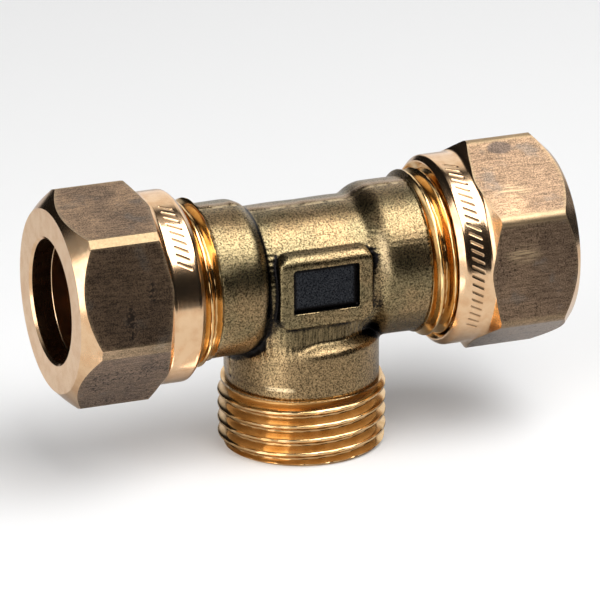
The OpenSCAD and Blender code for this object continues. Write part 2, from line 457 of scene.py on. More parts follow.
def blasted_finish():
    """Speckle = two noises added; tone, roughness and bump all follow it."""
    material, place = start_finish("blasted_forging")
    grain = place.noise(0.23, detail=3.0, roughness=0.65)
    grit = place.noise(0.12, roughness=0.6)
    patches = place.noise(6.0, detail=3.0)
    cavity, sunk, drag, shine = stored(place, "cavity", "sunk", "drag", "shine")
    shear = place.noise(0.2, stretch=(1, 1, 10))
    broken = place.noise(1.1)
    across = place.part("Y")
    low = place.part("Z").step(WARM_TOP, WARM_TOP - WARM_FADE)
    flash = abs(across).step((FLASH_HALF + FLASH_SOFT) * MM, (FLASH_HALF - FLASH_SOFT) * MM)
    speckle = grain * 0.55 + grit * 0.45
    tone = speckle.step(0.39, 0.61)
    olive = tone.mix((0.055, 0.043, 0.021), (0.35, 0.272, 0.143))
    gold = tone.mix((0.085, 0.057, 0.027), (0.475, 0.325, 0.165))
    colour = (patches.step(0.38, 0.64) + low * 0.8).mix(olive, gold)
    # Darker streaks on the wall under the panel, fading out at its left end.
    streaked_colour = shear.step(0.36, 0.64).mix((0.035, 0.026, 0.013), (0.24, 0.175, 0.09))
    colour = (drag * 0.7).mix(colour, streaked_colour)
    colour = (flash * 0.7).mix(colour, (0.44, 0.31, 0.20))
    # Painted highlights: the front lip of the flash ridge, and the stored sheen, which is the skim line on the
    # branch and the right shoulder's edge.
    lip = abs(across + FLASH_LIP * MM).step(0.4 * MM, 0.15 * MM) * broken.step(0.40, 0.55)
    colour = (lip * 0.75 + shine * (0.35 + tone * 0.65)).mix(colour, (0.80, 0.61, 0.36))
    colour = sunk.mix(colour, tone.mix((0.004, 0.005, 0.008), (0.055, 0.058, 0.064)))
    # Painted shade: the stored corner shade, with the dark speckle, turns corners, creases and the hollow near
    # black.
    corner = (cavity + (0.5 - speckle) * 0.5).step(0.12, 0.40)
    colour = corner.mix(colour, (0.009, 0.008, 0.008))
    rough = 0.2 + speckle * 0.16
    close_finish(place, colour, rough, speckle, 0.045)
    return material


blasted = blasted_finish()
print("made", blasted.name)

# %% [markdown]
# Cut brass: golden, with the tool's lines as a fine ripple along the axis, which is noise that changes fast
# along the axis and hardly at all across it. Metal far under the crests is a dull brown, partly oil and dirt
# that stay in the roots of a thread and partly painted shade, and the bores are painted a dark brown shade.
# Next to the forging, where the tool leaves its cut, the root of the branch's thread stays rough.

# %% Cut thread and bore finish
BOSS_REACH, BRANCH_BOSS_REACH = 13.7, BRANCH_REACH - 8.6
ROUGH_LENGTH, ROUGH_SOFT = 1.5, 0.4


def cut_finish(name, axis, rough_end, bright, deep):
    """Tool lines along one axis and a faint stain; browner under the crests, partly dirt and partly painted shade;
    a painted dark brown shade in the bores; rough up to rough_end.
    """
    material, place = start_finish(name)
    stretch = [60, 60, 60]
    stretch[axis] = 1
    lines = place.noise(0.09, roughness=0.6, stretch=stretch)
    stain = place.noise(2.2, detail=4.0, roughness=0.6)
    radius = from_axis(place, axis)
    root = radius.step((THREAD_R - 0.35) * MM, (THREAD_R - 1.2) * MM)
    bore = radius.step((THREAD_R - 1.3) * MM, (THREAD_R - 1.5) * MM)
    colour = stain.step(0.35, 0.7).mix(bright, deep)
    along = abs(place.part("XYZ"[axis]) - CROSSING[axis])
    run_out = along.step((rough_end + ROUGH_SOFT) * MM, (rough_end - ROUGH_SOFT) * MM) * root
    # Partly dirt and partly painted shade: metal far under the crests turns brown.
    colour = (root * 0.5).mix(colour, (0.34, 0.17, 0.05))
    colour = (run_out * 0.7).mix(colour, (0.66, 0.40, 0.15))
    # Painted shade: the bores are dark brown.
    colour = bore.mix(colour, (0.12, 0.068, 0.035))
    rough = 0.07 + stain * 0.12 + lines * 0.05 + bore * 0.12 + run_out * 0.3
    close_finish(place, colour, rough, lines, 0.004)
    return material


cut_run = cut_finish("cut_run_thread", 0, 0.0, (0.88, 0.60, 0.29), (0.74, 0.45, 0.17))
cut_branch = cut_finish("cut_branch_thread", 2, BRANCH_BOSS_REACH + ROUGH_LENGTH,
                        (0.82, 0.56, 0.29), (0.66, 0.41, 0.17))
print("made", cut_run.name, "and", cut_branch.name)

# %% [markdown]
# The nut's turned brass is rosier. Its tool lines are rings, one beside another along the radius on the face
# and along the axis on the collar. Noise over those two distances gives rings on either. The cut strokes on
# the collar hold dirt, so they are dull and brown as deep as they go.

# %% Turned nut finish


def turned_finish():
    """Rings from noise along (distance from the axis, place along it), with soft smears of tone."""
    material, place = start_finish("turned_nut")
    ring = place.node("CombineXYZ", {}, {"X": place.part("X"), "Y": from_axis(place, 0)})
    lines = ring.noise(0.11, roughness=0.6)
    smear = place.noise(1.8, detail=4.0, roughness=0.6)
    [stroke] = stored(place, "stroke")
    colour = smear.step(0.35, 0.68).mix((0.92, 0.63, 0.38), (0.82, 0.51, 0.28))
    colour = (stroke * 0.8).mix(colour, (0.30, 0.18, 0.09))
    rough = 0.09 + smear * 0.1 + lines * 0.05 + stroke * 0.25
    close_finish(place, colour, rough, lines, 0.004)
    return material


turned_nut = turned_finish()
print("made", turned_nut.name)

# %% [markdown]
# The flats keep the skin of the drawn bar: a fine speckle with faint streaks along the axis, under grey
# stains and a few clusters of dark pits. Each flat has a tone of its own, which is partly its own colour and
# partly painted light, lighter on the upper flats and darker on the lower ones. The edges next to corners and
# chamfers are rubbed to a bright speckle, and the corners get a painted highlight on top of that wear, some of
# them far more than others. Tone, edge, and wear with painted highlight are stored on the nut's points. A few
# marks of handling are placed one by one: two rows of pits, an oval stain and two patches of scratches.

# %% Drawn flat finish
PIT_ROWS = [((-26.6, -12.36, 0.7), (0.7, 1.2, 3.0)), ((-23.6, -11.35, 3.9), (0.6, 1.2, 2.0))]
OVAL_STAIN = ((25.8, -1.73, 12.86), (1.6, 1.15, 0.75))
SCRATCHES = [((25.0, -7.87, 9.31), (1.9, 1.0, 0.7)), ((24.8, -12.0, 2.4), (1.8, 0.5, 0.9))]
PIT_SOFT, SCRATCH_SOFT = 0.4, 0.8


def spot(place, centre, reach, soft=0.15):
    """1 inside an ellipsoid round a point in millimetres from the crossing of the axes, 0 outside it."""
    middle = tuple(c * MM + start for c, start in zip(centre, CROSSING))
    share = place.vector("SUBTRACT", middle).vector("DIVIDE", tuple(r * MM for r in reach))
    return share.length().step(1 + soft, 1 - soft)


def drawn_finish():
    """Speckle, pits and stains over dull brass, worn bright where the stored edge distance is small."""
    material, place = start_finish("drawn_flats")
    edge, flat_tone_and_light, shine = stored(place, "edge", "tone", "shine")
    scored = place.noise(0.26, stretch=(14, 1, 1))
    grain = place.noise(0.16, detail=3.0, roughness=0.7)
    streaks = place.noise(0.3, detail=3.0, roughness=0.6, stretch=(6, 1, 1))
    shade = place.noise(7.0, detail=3.0)
    pits = place.noise(0.4, detail=3.0, roughness=0.6)
    stains = place.noise(4.5, detail=4.0, roughness=0.6)
    rub = place.noise(0.35, detail=3.0, roughness=0.65)
    tone = (grain * 0.7 + streaks * 0.3).step(0.40, 0.61)
    light = tone.mix((0.24, 0.155, 0.093), (0.70, 0.455, 0.272))
    dark = tone.mix((0.055, 0.038, 0.028), (0.29, 0.195, 0.13))
    stained = tone.mix((0.13, 0.108, 0.088), (0.30, 0.25, 0.205))
    # The stored flat tone is partly painted light: upper flats lighter, lower flats darker.
    colour = (flat_tone_and_light * (0.4 + shade.step(0.42, 0.6) * 0.6)).mix(dark, light)
    colour = (stains.step(0.56, 0.7) * 0.6).mix(colour, stained)
    pitted = pits.step(0.46, 0.38) * stains.step(0.53, 0.43) * (1.0 - flat_tone_and_light)
    for row in PIT_ROWS:
        pitted = pitted + spot(place, *row, PIT_SOFT) * pits.step(0.57, 0.46)
    colour = (pitted * 0.9).mix(colour, (0.014, 0.011, 0.01))
    worn = (edge + (rub - 0.5) * 1.1).step(0.45, 0.0)
    colour = (worn * (0.1 + flat_tone_and_light * 0.35)).mix(colour, (0.50, 0.37, 0.21))
    # Painted highlight on top of the wear, by the stored corner value, strong on some corners.
    colour = (shine * (0.2 + rub * 1.1)).mix(colour, (0.62, 0.46, 0.26))
    oval = tone.mix((0.08, 0.06, 0.047), (0.19, 0.14, 0.11))
    colour = (spot(place, *OVAL_STAIN) * 0.9).mix(colour, oval)
    for patch in SCRATCHES:
        scratched = spot(place, *patch, SCRATCH_SOFT) * scored.step(0.45, 0.60)
        colour = (scratched * 0.6).mix(colour, (0.78, 0.57, 0.33))
    rough = 0.27 + stains * 0.12 + pitted * 0.15 + worn * 0.08 + shine * 0.18
    height = grain * 0.85 + streaks * 0.15 - pitted * 0.15
    close_finish(place, colour, rough, height, 0.02)
    return material


drawn_flats = drawn_finish()
print("made", drawn_flats.name)

# %% [markdown]
# The forging is one flowing skin: neck, stem, bosses and panel melt into each other with fillets, which no
# single outline can give. It is described instead by a distance: a formula that is negative inside the
# metal and positive outside, where joining shapes with a fillet is one line. Sampled on a lattice, the skin
# lies where the sign changes. Each lattice cell that it crosses gets one point, each crossed lattice edge
# one quad, and a few Newton steps along the gradient then put every point on the true surface.

# %% Distances that melt together


def melt(a, b, fillet):
    """The lower of two distances, rounded over a fillet where they are nearly equal."""
    near = np.clip(0.5 + 0.5 * (b - a) / fillet, 0, 1)
    return b + (a - b) * near - fillet * near * (1 - near)


def meet(a, b, edge):
    """What two solids share: the higher of their distances, with the edge between them rounded off."""
    over_a, over_b = a + edge, b + edge
    outside = np.hypot(np.maximum(over_a, 0), np.maximum(over_b, 0))
    return np.minimum(np.maximum(over_a, over_b), 0) + outside - edge


def smooth(value, low, high):
    """Rises from 0 at low to 1 at high without a corner, or falls if low is the higher."""
    share = np.clip((value - low) / (high - low), 0, 1)
    return share * share * (3 - 2 * share)


def rounded_bar(u, v, half_u, half_v, corner):
    """Distance to a rectangle in two coordinates, with rounded corners."""
    return meet(np.abs(u) - half_u, np.abs(v) - half_v, corner)


def window(value, low, low_full, high_full, high):
    """1 between the two full places, falling smoothly to 0 at low and at high."""
    return smooth(value, low, low_full) * smooth(value, high, high_full)


print("distance helpers ready")

# %% The forging's formula
NECK_R = 8.5
NECK_REACH = 7.2
BOSS_R = 9.63
STEM_R = 8.2
STEM_SWELL = 0.9
LEDGE, LEDGE_DROP, LEDGE_FALL = 7.15, 0.45, 0.74
BRANCH_R = 9.68
SHOULDER_ROUND = 2.0
LEDGE_ROUND = 0.5
LONG = 10.0
STEM_FILLET, PANEL_FILLET = 1.2, 0.3
FOOT_FILLET, FOOT_SOFTER = 0.3, 0.9
BOSS_FILLET, BOSS_SOFTER = 0.6, 1.3
PANEL_W, PANEL_H, PANEL_REACH, PANEL_BACK, PANEL_ROUND = 12.2, 9.2, 9.1, 4.0, 1.6
PANEL_EDGE, PANEL_BEVEL = 0.35, 0.75
RECESS_W, RECESS_H, RECESS_RISE, RECESS_DEPTH = 8.6, 5.6, 0.16, 0.8
RECESS_CORNER, RECESS_EDGE = 0.25, 0.12
DRAFT = 0.12
FLASH_RISE, FLASH_EDGE = 0.16, 0.08
WAVE = 0.03
FLUTE, FLUTE_DEPTH = 0.66, 0.035
SKIM_TOP, SKIM_R, SKIM_OFF = 12.7, 9.68, (0.10, -0.12)
HIGHLIGHT_EDGE = 7.85
WATERWAY_R = 6.6
PIPE_STOP = 12.0
SLEEVE_R = 8.2
BRANCH_SLEEVE_R = 7.0
BRANCH_SLEEVE_TOP = 13.0


def bores(x, y, z):
    """Distance to the drilled waterways, wider near the ends where the threaded sleeves sit."""
    from_run, from_branch = np.hypot(y, z), np.hypot(x, y)
    run = np.minimum(from_run - WATERWAY_R, np.maximum(from_run - SLEEVE_R, PIPE_STOP - np.abs(x)))
    branch = np.minimum(np.maximum(from_branch - BRANCH_BORE_R, z),
                        np.maximum(from_branch - BRANCH_SLEEVE_R, z + BRANCH_SLEEVE_TOP))
    return np.minimum(run, branch)


def recess(x, y, z):
    """Distance to the sunk field of the panel."""
    return np.maximum(rounded_bar(x, z - RECESS_RISE, RECESS_W / 2, RECESS_H / 2, RECESS_CORNER),
                      y + PANEL_REACH - RECESS_DEPTH)


def bosses(x, y, z):
    """Distance to the two bosses that carry the run's threads, with rounded shoulders."""
    return rounded_bar(np.abs(x) - NECK_REACH - LONG, np.hypot(y, z), LONG, BOSS_R, SHOULDER_ROUND)


def raised_panel(x, y, z):
    """Distance to the panel: a drafted block with round corners, its top edge bevelled."""
    inward = y + PANEL_REACH
    grow = DRAFT * inward
    outline = rounded_bar(x, z, PANEL_W / 2 + grow, PANEL_H / 2 + grow, PANEL_ROUND)
    bevel = (z - PANEL_H / 2 - inward + PANEL_BEVEL) * math.sqrt(0.5)
    block = meet(meet(outline, -inward, PANEL_EDGE), bevel, PANEL_EDGE)
    return np.maximum(block, y + PANEL_BACK)


def tee_core(x, y, z):
    """Distance to neck, stem and branch. The stem swells on the left, so the sloping ledge fades there."""
    from_run, from_branch = np.hypot(y, z), np.hypot(x, y)
    flutes = FLUTE_DEPTH * np.cos(FULL_TURN * x / FLUTE) * smooth(y, -4, -6)
    rungs = FLUTE_DEPTH * np.cos(FULL_TURN * z / FLUTE) * smooth(y, -5.5, -7) * smooth(np.abs(x), 5.8, 6.4)
    swell = STEM_SWELL * smooth(x, -0.5, -5.5) * smooth(y, -2, -5)
    stem = np.maximum(from_branch - STEM_R - swell + flutes, z)
    skin = melt(from_run - NECK_R + rungs, stem, STEM_FILLET)
    ledge = LEDGE + LEDGE_DROP * smooth(x, 0, -5.5)
    falling = (z + ledge + LEDGE_FALL * (from_branch - STEM_R)) / math.hypot(1, LEDGE_FALL)
    foot = meet(from_branch - BRANCH_R, falling, LEDGE_ROUND)
    return melt(skin, foot, FOOT_FILLET + FOOT_SOFTER * smooth(x, -1, -6))


def forging(x, y, z):
    """Core, bosses and panel melted together, less the recess and the bores, ended by flat planes."""
    fillet = BOSS_FILLET + BOSS_SOFTER * smooth(x, 2, 8) * smooth(z, 0, 5)
    skin = melt(tee_core(x, y, z), bosses(x, y, z), fillet)
    skin = melt(skin, raised_panel(x, y, z), PANEL_FILLET)
    wander = 0.7 + 0.3 * np.sin(1.9 * x + 0.8 * np.sin(2.7 * x))
    ridge = FLASH_RISE * (0.6 + 0.4 * smooth(x, -6, -8.5)) * wander
    skin = skin - ridge * smooth(np.abs(y), FLASH_HALF + FLASH_EDGE, FLASH_HALF - FLASH_EDGE)
    skin = skin + WAVE * np.sin(0.9 * x + 1.3) * np.sin(1.3 * y + 0.4) * np.sin(1.1 * z + 2.0)
    skim = np.hypot(x - SKIM_OFF[0], y - SKIM_OFF[1]) - SKIM_R
    skin = np.maximum(skin, np.minimum(skim, -z - SKIM_TOP))
    skin = meet(skin, -recess(x, y, z), RECESS_EDGE)
    skin = np.maximum(skin, -bores(x, y, z))
    return np.maximum(skin, np.maximum(np.abs(x) - BOSS_REACH, -z - BRANCH_BOSS_REACH))


print("panel", PANEL_W, "by", PANEL_H, "mm")

# %% From a distance to a skin
LATTICE = 0.22
NEWTON_STEPS, LEAST_SLOPE = 4, 0.05


def slope(field, p, reach=0.02):
    """Gradient of the distance at points p, by differences over a short reach on either side."""
    steps = np.eye(3) * reach
    return np.stack([(field(*(p + s).T) - field(*(p - s).T)) / (2 * reach) for s in steps], -1)


def skin_of(field, low, high):
    """Points and quads of the surface where the distance is zero, inside a box of lattice cells."""
    axes = [np.arange(a, b, LATTICE) for a, b in zip(low, high)]
    value = field(*np.meshgrid(*axes, indexing="ij", sparse=True))
    inside = value < 0
    cells = tuple(n - 1 for n in value.shape)
    hits, total = np.zeros(cells), np.zeros((*cells, 3))
    crossings = []
    for d in range(3):
        order = (d, (d + 1) % 3, (d + 2) % 3)
        v, inner = value.transpose(order), inside.transpose(order)
        crossed = inner[:-1] != inner[1:]
        share = np.where(crossed, v[:-1] / np.where(crossed, v[:-1] - v[1:], 1), 0)
        crossings.append((order, crossed[:, 1:-1, 1:-1], inner[:-1, 1:-1, 1:-1]))
        hits_d, total_d = hits.transpose(order), total.transpose(*order, 3)
        for b, c in ((0, 0), (0, 1), (1, 0), (1, 1)):
            part = slice(None), slice(b, b + cells[order[1]]), slice(c, c + cells[order[2]])
            hits_d += crossed[part]
            total_d[..., d] += share[part]
            total_d[..., order[1]] += b * crossed[part]
            total_d[..., order[2]] += c * crossed[part]
    live = hits > 0
    points = (np.argwhere(live) + total[live] / hits[live][:, None]) * LATTICE + low
    number = np.full(cells, -1)
    number[live] = np.arange(live.sum())
    quads = []
    for order, crossed, starts_inside in crossings:
        cell = number.transpose(order)
        i, j, k = np.nonzero(crossed)
        around = np.stack([cell[i, j, k], cell[i, j + 1, k], cell[i, j + 1, k + 1], cell[i, j, k + 1]], -1)
        quads.append(np.where(starts_inside[i, j, k][:, None], around, around[:, ::-1]))
    for _ in range(NEWTON_STEPS):
        gradient = slope(field, points)
        length = np.maximum((gradient ** 2).sum(-1), LEAST_SLOPE)
        move = field(*points.T)[:, None] * gradient / length[:, None]
        points = points - np.clip(move, -LATTICE / 2, LATTICE / 2)
    return points, np.concatenate(quads)


print(f"lattice of {LATTICE} mm")

# %% Forged body
MARGIN = 0.65
SKIN_LOW = (-BOSS_REACH - MARGIN, -10.15, -BRANCH_BOSS_REACH - MARGIN)
SKIN_HIGH = (BOSS_REACH + MARGIN, 10.65, 10.65)
NEAR_BORE = 0.08
PROBES = (0.5, 1.0, 1.8)
skin_points, skin_quads = skin_of(forging, SKIN_LOW, SKIN_HIGH)
drilled = np.abs(bores(*skin_points[skin_quads].mean(1).T)) < NEAR_BORE
forged_body = make_piece("forged_body", "right", skin_points, [skin_quads], [blasted, cut_run],
                         drilled, sharp=60)
normals = slope(forging, skin_points)
normals /= np.maximum(np.linalg.norm(normals, axis=-1, keepdims=True), 1e-6)
# Painted shade, stored as corner shade: dark where metal closes round a point, in the creases at the shoulders'
# feet and beside the panel, and in the hollow under the panel's lower left corner.
openness = np.mean([np.clip(forging(*(skin_points + normals * far).T) / far, 0, 1)
                    for far in PROBES], axis=0)
core, boss, panel = (part(*skin_points.T) for part in (tee_core, bosses, raised_panel))
across, depth, height = skin_points.T
foot_width = 0.6 + 0.6 * window(height, -7, -4.5, -3, 1)
shoulder_foot_shade = smooth(np.maximum(core, boss), foot_width, 0.1) * smooth(across, 1, -1)
panel_side_shade = np.where(across < 0, smooth(across, -5.5, -6) * smooth(height, -4.4, -3.4),
                      smooth(across, 5.5, 6) * smooth(height, -2, 0.5))
panel_width = np.where(across < 0, 0.8, 0.5)
crease_shade = np.maximum(shoulder_foot_shade, smooth(np.maximum(core, panel), panel_width, 0.1) * panel_side_shade)
around = np.degrees(np.arctan2(across, -depth))
hollow_shade = (smooth(height - across, 0.4, 0.9) * smooth(across, -5.2, -5.8) * smooth(boss, 0, 0.3)
          * smooth(height, -2.8, -3.4) * smooth(depth, -5, -6) * (0.32 + 0.2 * smooth(across, -6.4, -7)))
store(forged_body, "cavity", np.maximum(1 - openness, np.maximum(0.5 * crease_shade, hollow_shade)))
store(forged_body, "sunk", smooth(recess(*skin_points.T), 0.12, 0.02) * smooth(depth, -8.75, -8.45))
# The wall under the panel is darker, in streaks, fading out at its left end.
store(forged_body, "drag", window(height, -7.5, -7, -4.9, -4.4) * smooth(depth, -5, -6.5)
      * smooth(across, -6.5, -3))
# Painted highlights, stored as sheen: a bright line along the edge of the skimmed band on the branch, and a strip
# down the edge of the right shoulder.
skim_highlight = smooth(np.abs(height + SKIM_TOP), 0.25, 0.1) * window(around, -50, -43, -30, -24)
shoulder_highlight = (smooth(np.abs(across - HIGHLIGHT_EDGE), 0.8, 0.1) * smooth(depth, -6.5, -7.5)
          * window(height, 0, 2.2, 4.5, 6.8))
store(forged_body, "shine", 2 * skim_highlight + 0.5 * shoulder_highlight)
dress(forged_body, "tee_body", "forged_brass", "tee_body")

# %% [markdown]
# The three threaded ends are lathe work. Each is a closed outline carried round its own axis, in which the
# thread is a radius that depends on both the place along the axis and the angle. A chamfer at the free end
# and a cone at the start limit that radius, and the lowest wins. The cone is the end of the raw forging, and
# it keeps the blasted finish wherever the thread doesn't cut into it.

# %% Threaded ends
ENDS_COLUMNS = 192
ROW_STEP = 0.07
END_CHAMFER = 0.74
BRANCH_START_R = THREAD_R - 0.4
RUN_OUT = 0.2
CONE_RISE = 1.7
LATE_SIDE, BRANCH_LAG = math.radians(-75), 0.9
CORE_R = 9.2
THREAD_PHASES = {"left": 0.545, "right": 0.647, "branch": 0.943}


def threaded_end(name, end, start, start_r, lag, reach, root, inside, finish):
    """Rows: hidden root, thread from start to reach, then the bore from the free end back to the root.

    The cone lags behind the start on its late side, where more of the raw forging shows."""
    angle = np.linspace(0, FULL_TURN, ENDS_COLUMNS, endpoint=False)[None, :]
    along = np.append(np.arange(start, reach, ROW_STEP), reach)[:, None]
    fade = np.clip((along - start) / RUN_OUT, 0, 1)
    thread = THREAD_R - thread_depth(along, angle, THREAD_PHASES[end]) * fade
    late = lag * np.clip(np.cos(angle - LATE_SIDE), 0, 1) ** 2
    cone = np.maximum(start_r + CONE_RISE * (along - start - late), start_r)
    radius = np.minimum(thread, np.minimum(cone, THREAD_R - END_CHAMFER + reach - along))
    raw = (cone < thread) & (cone < THREAD_R)
    root, inside = np.array(root, float), np.array(inside, float)
    rows_along = np.concatenate([root[:, 0], along[:, 0], inside[:, 0]])[:, None]
    wide = np.ones((1, ENDS_COLUMNS))
    rows_radius = np.concatenate([root[:, 1:] * wide, radius, inside[:, 1:] * wide])
    points = turned(rows_along, rows_radius, angle)
    quads = loop_quads(len(rows_along), ENDS_COLUMNS)
    is_raw = np.zeros(rows_radius.shape)
    is_raw[len(root):len(root) + len(along)] = raw
    piece = make_piece(name, end, points, [quads], [finish, blasted], is_raw.ravel())
    dress(piece, "tee_body", "forged_brass")


MOUTH_FLARE, MOUTH_SLOPE = 1.26, math.radians(25)
MOUTH_START = RUN_REACH - MOUTH_FLARE / math.tan(MOUTH_SLOPE)
SLEEVE_GAP = 0.04
EDGE_BREAK = 0.3
STEP_BACK, ROOT_BACK = 0.3, 0.02
BORE_MIDDLE = 18.0


def hidden_root(inner_end, sleeve_r, start):
    """Outline inside the forging: a sleeve in its bore, then a step out to the core under the thread."""
    inner_r, step = sleeve_r - SLEEVE_GAP, start - STEP_BACK
    return [(inner_end, inner_r), (step, inner_r), (step, CORE_R), (start - ROOT_BACK, CORE_R)]


run_inside = [(RUN_REACH, SOCKET_R + MOUTH_FLARE), (MOUTH_START, SOCKET_R), (BORE_MIDDLE, SOCKET_R),
              (PIPE_STOP, SOCKET_R)]
branch_inside = [(BRANCH_REACH, BRANCH_BORE_R + EDGE_BREAK), (BRANCH_REACH - EDGE_BREAK, BRANCH_BORE_R),
                 (BORE_MIDDLE, BRANCH_BORE_R), (BRANCH_SLEEVE_TOP, BRANCH_BORE_R)]
for run_end in ("left", "right"):
    threaded_end(f"{run_end}_run_thread", run_end, BOSS_REACH, BOSS_R, 0.0, RUN_REACH,
                 hidden_root(PIPE_STOP, SLEEVE_R, BOSS_REACH), run_inside, cut_run)
threaded_end("branch_thread", "branch", BRANCH_BOSS_REACH, BRANCH_START_R, BRANCH_LAG, BRANCH_REACH,
             hidden_root(BRANCH_SLEEVE_TOP, BRANCH_SLEEVE_R, BRANCH_BOSS_REACH), branch_inside, cut_branch)

# %% [markdown]
# A nut starts as hexagon bar with rounded corners. Turning cuts a cone at each end, and where a cone meets a
# flat it leaves the curved line that every nut has. Here that line is a row of the grid: each column
# knows how far out its point of the hexagon is, and so how far along the cone reaches it.

# %% The hexagon's outline
CORNER_ROUND = 1.22
FLAT_COLUMNS = 24
CORNER_COLUMNS = 10
CORNER_LINE = 0.04


def hexagon(turn, blunt):
    """Flats and corners as complex numbers: a corner is an arc if blunt is 0 and a plain facet if it is 1."""
    half_side = math.pi / 6
    flat_half = (NUT_FLATS / 2 - CORNER_ROUND) * math.tan(half_side)
    inner = flat_half - CORNER_LINE
    along_flat = np.append(-flat_half, np.linspace(-inner, inner, FLAT_COLUMNS - 1))
    bend = np.linspace(-half_side, half_side, CORNER_COLUMNS, endpoint=False)
    middle = (NUT_FLATS / 2 - CORNER_ROUND) / math.cos(half_side)
    out = np.cos(bend) + blunt * (math.cos(half_side) - np.cos(bend))
    corner = np.exp(1j * half_side) * (middle + CORNER_ROUND * (out + 1j * np.sin(bend)))
    side = np.concatenate([NUT_FLATS / 2 + 1j * along_flat, corner])
    outline = (np.exp(1j * (turn + np.arange(6) * math.pi / 3))[:, None] * side).ravel()
    edge = np.tile(np.concatenate([flat_half - np.abs(along_flat), np.zeros(CORNER_COLUMNS)]), 6)
    return np.unwrap(np.angle(outline)), np.abs(outline), edge


print("hexagon of", 6 * (FLAT_COLUMNS + CORNER_COLUMNS), "columns")

# %% The nut's outline, row by row
COLLAR_R = 11.95
COLLAR_CHAMFER, COLLAR_SOFT = 0.65, 0.12
HEX_START = NUT_START + 4.2
FACE_R = 11.45
INNER_CONE = math.tan(math.radians(30))
INNER_CONE_R = COLLAR_R - 0.25
COLLAR_FILLET = 0.9
CONE_ROWS, FLAT_ROWS, CHAMFER_ROWS, FACE_ROWS, SEAT_ROWS, COLLAR_ROWS = 14, 16, 8, 7, 4, 12
NUT_ROW_STEP = 0.085
NUT_BORE_R = 7.7
BORE_ROWS, GROOVE_DEPTH = 37, 0.01
LIP = 2.65
SEAT_R = NUT_BORE_R + 0.4
SEAT_LENGTH = 2.0
CHAMBER_R = SEAT_R + 0.9
NUT_THREAD_END = 27.0
NUT_THREAD_GAP = 0.05
NUT_THREAD_CHAMFER = 0.6
FLATS, FIRST_INNER, LAST_INNER = 1, 4, 7


def ramp(first, last, rows, cols):
    """Rows from one place and radius to another, each a single number or one number for every column."""
    share = np.linspace(0, 1, rows)[:, None]
    return [np.broadcast_to(share * (b - a) + a, (rows, cols)) for a, b in zip(first, last)]


def nut_rows(angle, corner_r, phase):
    """Places along and radii of the coarse rows, from the cone behind the collar round to its chamfer."""
    cols = len(angle)
    cone_r = np.linspace(0, 1, CONE_ROWS)[:, None] ** 2 * (corner_r - COLLAR_R)
    cone = HEX_START + (COLLAR_R - INNER_CONE_R + cone_r) * INNER_CONE
    fillet_start = HEX_START + (COLLAR_R - INNER_CONE_R - COLLAR_FILLET) * INNER_CONE
    fillet = fillet_start + np.sqrt(np.maximum(cone_r * (2 * COLLAR_FILLET - cone_r), 0))
    cone = np.where(cone_r < COLLAR_FILLET / 2, fillet, cone)
    chamfer = NUT_REACH - (corner_r - FACE_R)
    seat_end = NUT_REACH - LIP
    bore_along, bore_r = ramp((NUT_REACH - EDGE_BREAK, NUT_BORE_R), (seat_end, NUT_BORE_R), BORE_ROWS, cols)
    groove = GROOVE_DEPTH * (np.arange(BORE_ROWS) % 2)[:, None]
    crest_r = THREAD_R + NUT_THREAD_GAP
    thread_start = NUT_START + NUT_THREAD_CHAMFER
    cut_along = np.append(np.arange(NUT_THREAD_END, thread_start, -NUT_ROW_STEP), thread_start)[:, None]
    cut_radius = np.maximum(crest_r - thread_depth(cut_along, angle[None, :], phase),
                            crest_r - (cut_along - thread_start))
    edge_along = np.linspace(0, COLLAR_CHAMFER + 2 * COLLAR_SOFT, COLLAR_ROWS)[:, None]
    under = COLLAR_CHAMFER - edge_along
    edge_drop = (under + np.hypot(under, COLLAR_SOFT)) / 2
    chamber, mouth = (NUT_THREAD_END, CHAMBER_R), (NUT_START, crest_r + NUT_THREAD_CHAMFER)
    wide = np.ones(cols)
    pieces = [
        (cone, COLLAR_R + cone_r),
        ramp((cone[-1], corner_r), (chamfer, corner_r), FLAT_ROWS, cols),
        ramp((chamfer, corner_r), (NUT_REACH, FACE_R), CHAMFER_ROWS, cols),
        ramp((NUT_REACH, FACE_R), (NUT_REACH, NUT_BORE_R + EDGE_BREAK), FACE_ROWS, cols),
        (bore_along, bore_r + groove),
        ramp((seat_end, SEAT_R), (seat_end - SEAT_LENGTH, CHAMBER_R), SEAT_ROWS, cols),
        ramp(chamber, chamber, 1, cols),
        (cut_along * wide, cut_radius),
        ramp(mouth, mouth, 1, cols),
        ((NUT_START + edge_along) * wide, (COLLAR_R - edge_drop) * wide),
    ]
    along, radius = (np.concatenate([p[k] for p in pieces]) for k in (0, 1))
    kind = np.concatenate([np.full(len(p[0]), k) for k, p in enumerate(pieces)])
    return along, radius, kind


print(f"nut from {NUT_START:.2f} to {NUT_REACH:.2f} mm")

# %% Strokes on the collar
STROKES = 70
GROUP = STROKES // 2
STROKE_MIDDLE = NUT_START + 2.25
STROKE_LENGTH, STROKE_TIP = 1.6, 0.12
STROKE_WIDTH, STROKE_WALL = 0.27, 0.1
STROKE_LEAN = 0.95
STROKE_DEPTH = 0.09


def strokes_at(along, angle, first, count):
    """Slanting cuts at even angles, a count in each half turn: 1 near the leaning line of one, 0 off it."""
    from_middle = along - STROKE_MIDDLE
    lean = from_middle / STROKE_LENGTH * STROKE_LEAN / COLLAR_R
    turns = (angle - lean) / FULL_TURN * STROKES
    nearest = np.round(turns)
    off = np.abs(turns - nearest) * FULL_TURN / STROKES * COLLAR_R
    over = np.abs(from_middle) - STROKE_LENGTH / 2
    shown = np.mod(nearest - first, GROUP) < count
    side = np.clip((STROKE_WIDTH / 2 - off) / STROKE_WALL + 0.5, 0, 1)
    tip = np.clip(-over / STROKE_TIP + 0.5, 0, 1)
    return side * tip * shown


print(f"a stroke every {360 / STROKES:.1f} degrees")

# %% Nuts
BAND_ROWS, BAND_GAP = 34, 0.08
FINE = 5


